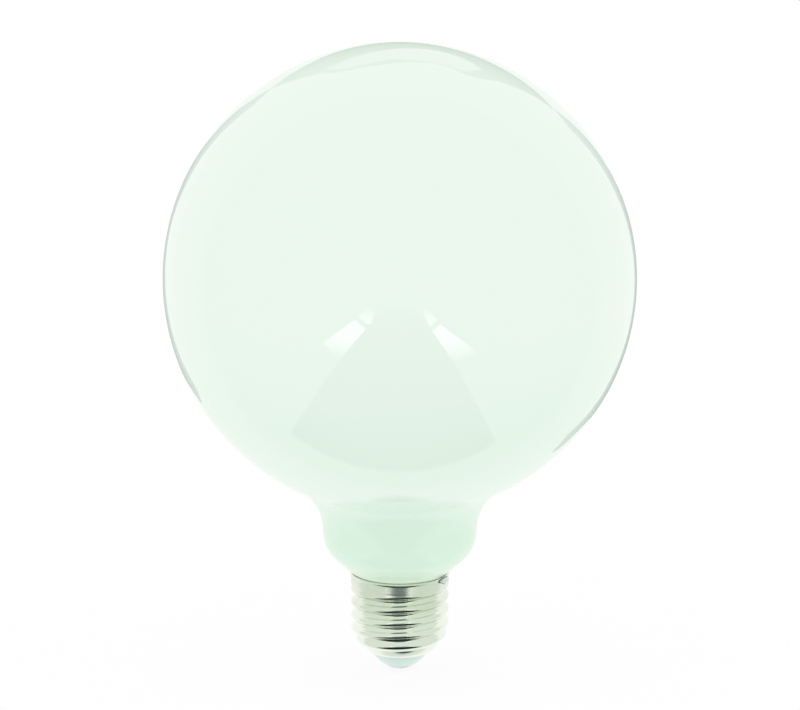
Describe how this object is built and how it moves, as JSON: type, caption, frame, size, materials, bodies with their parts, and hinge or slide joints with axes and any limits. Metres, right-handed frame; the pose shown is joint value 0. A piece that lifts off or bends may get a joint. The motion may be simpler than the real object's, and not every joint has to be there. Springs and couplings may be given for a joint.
{
  "type": "led light bulb",
  "caption": "LED globe light bulb: opal glass sphere on a short waisted neck, cemented in an Edison screw cap with an insulated centre contact.",
  "frame": {"origin": "middle of the centre contact's end face, the lowest point of the bulb standing cap down", "axes": "+Z along the bulb's axis from the centre contact to the crown of the globe; the side solder lies near +X"},
  "size_m": [0.125, 0.125, 0.1695],
  "materials": {
    "opal_glass": "glossy milk-white opal, faintly green",
    "cap_metal": "bright rolled metal",
    "solder": "dull tin solder",
    "insulator": "smooth pale insulator",
    "contact_metal": "bright metal"
  },
  "bodies": {
    "root": {"glass_bulb": "opal_glass", "screw_shell": "cap_metal", "side_solder": "solder", "insulator": "insulator", "centre_contact": "contact_metal"}
  },
  "joints": []
}
